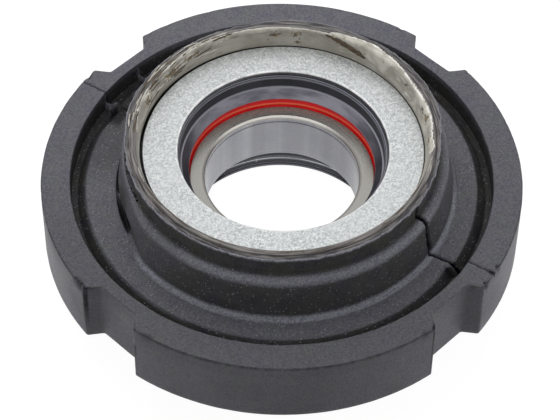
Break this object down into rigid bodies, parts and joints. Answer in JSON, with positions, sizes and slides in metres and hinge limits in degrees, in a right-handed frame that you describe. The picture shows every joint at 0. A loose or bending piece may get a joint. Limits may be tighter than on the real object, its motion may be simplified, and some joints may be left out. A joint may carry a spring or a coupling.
{
  "type": "driveshaft centre bearing",
  "caption": "Sealed ball bearing in a flared steel sleeve, bonded into a notched rubber cushion that carries the middle of a vehicle's driveshaft.",
  "frame": {"origin": "middle of the shaft bore, on the bearing's mid-plane", "axes": "+Z along the shaft axis towards the side that shows the upper washer, +X through the middle of a notch"},
  "size_m": [0.1856, 0.1856, 0.0684],
  "materials": {
    "cushion_rubber": "matte moulded rubber with fine dust",
    "seal_rubber": "smooth black rubber",
    "red_lip": "smooth red rubber with a soft gloss",
    "sleeve_steel": "turned steel with dried adhesive and grime",
    "zinc": "galvanised sheet with fine spangle",
    "bearing_steel": "ground and polished bearing steel",
    "ball_steel": "polished balls",
    "cage_steel": "pressed strip steel",
    "seal_plate": "grey coated plate"
  },
  "bodies": {
    "housing": {"rubber_cushion": "cushion_rubber", "carrier_sleeve": "sleeve_steel", "upper_washer": "zinc", "lower_washer": "zinc", "upper_spacer_ring": "seal_rubber", "lower_spacer_ring": "seal_rubber", "lower_dust_seal": "seal_rubber", "bearing_outer_ring": "bearing_steel", "upper_seal_plate": "seal_plate", "upper_seal_lip": "red_lip", "lower_seal_plate": "seal_plate", "lower_seal_lip": "red_lip"},
    "inner_race": {"bearing_inner_ring": "bearing_steel"},
    "ball_set": {"cage_upper_half": "cage_steel", "cage_lower_half": "cage_steel", "cage_rivets": "cage_steel", "ball_1": "ball_steel", "ball_2": "ball_steel", "ball_3": "ball_steel", "ball_4": "ball_steel", "ball_5": "ball_steel", "ball_6": "ball_steel", "ball_7": "ball_steel", "ball_8": "ball_steel", "ball_9": "ball_steel", "ball_10": "ball_steel"}
  },
  "joints": [
    {"name": "shaft_spin", "type": "hinge", "parent": "housing", "child": "inner_race", "pos_m": [0, 0, 0], "axis": [0, 0, 1], "continuous": true},
    {"name": "cage_spin", "type": "hinge", "parent": "housing", "child": "ball_set", "pos_m": [0, 0, 0], "axis": [0, 0, 1], "continuous": true}
  ],
  "couplings": [
    {"joint": "cage_spin", "follows": "shaft_spin", "ratio": 0.4065}
  ]
}
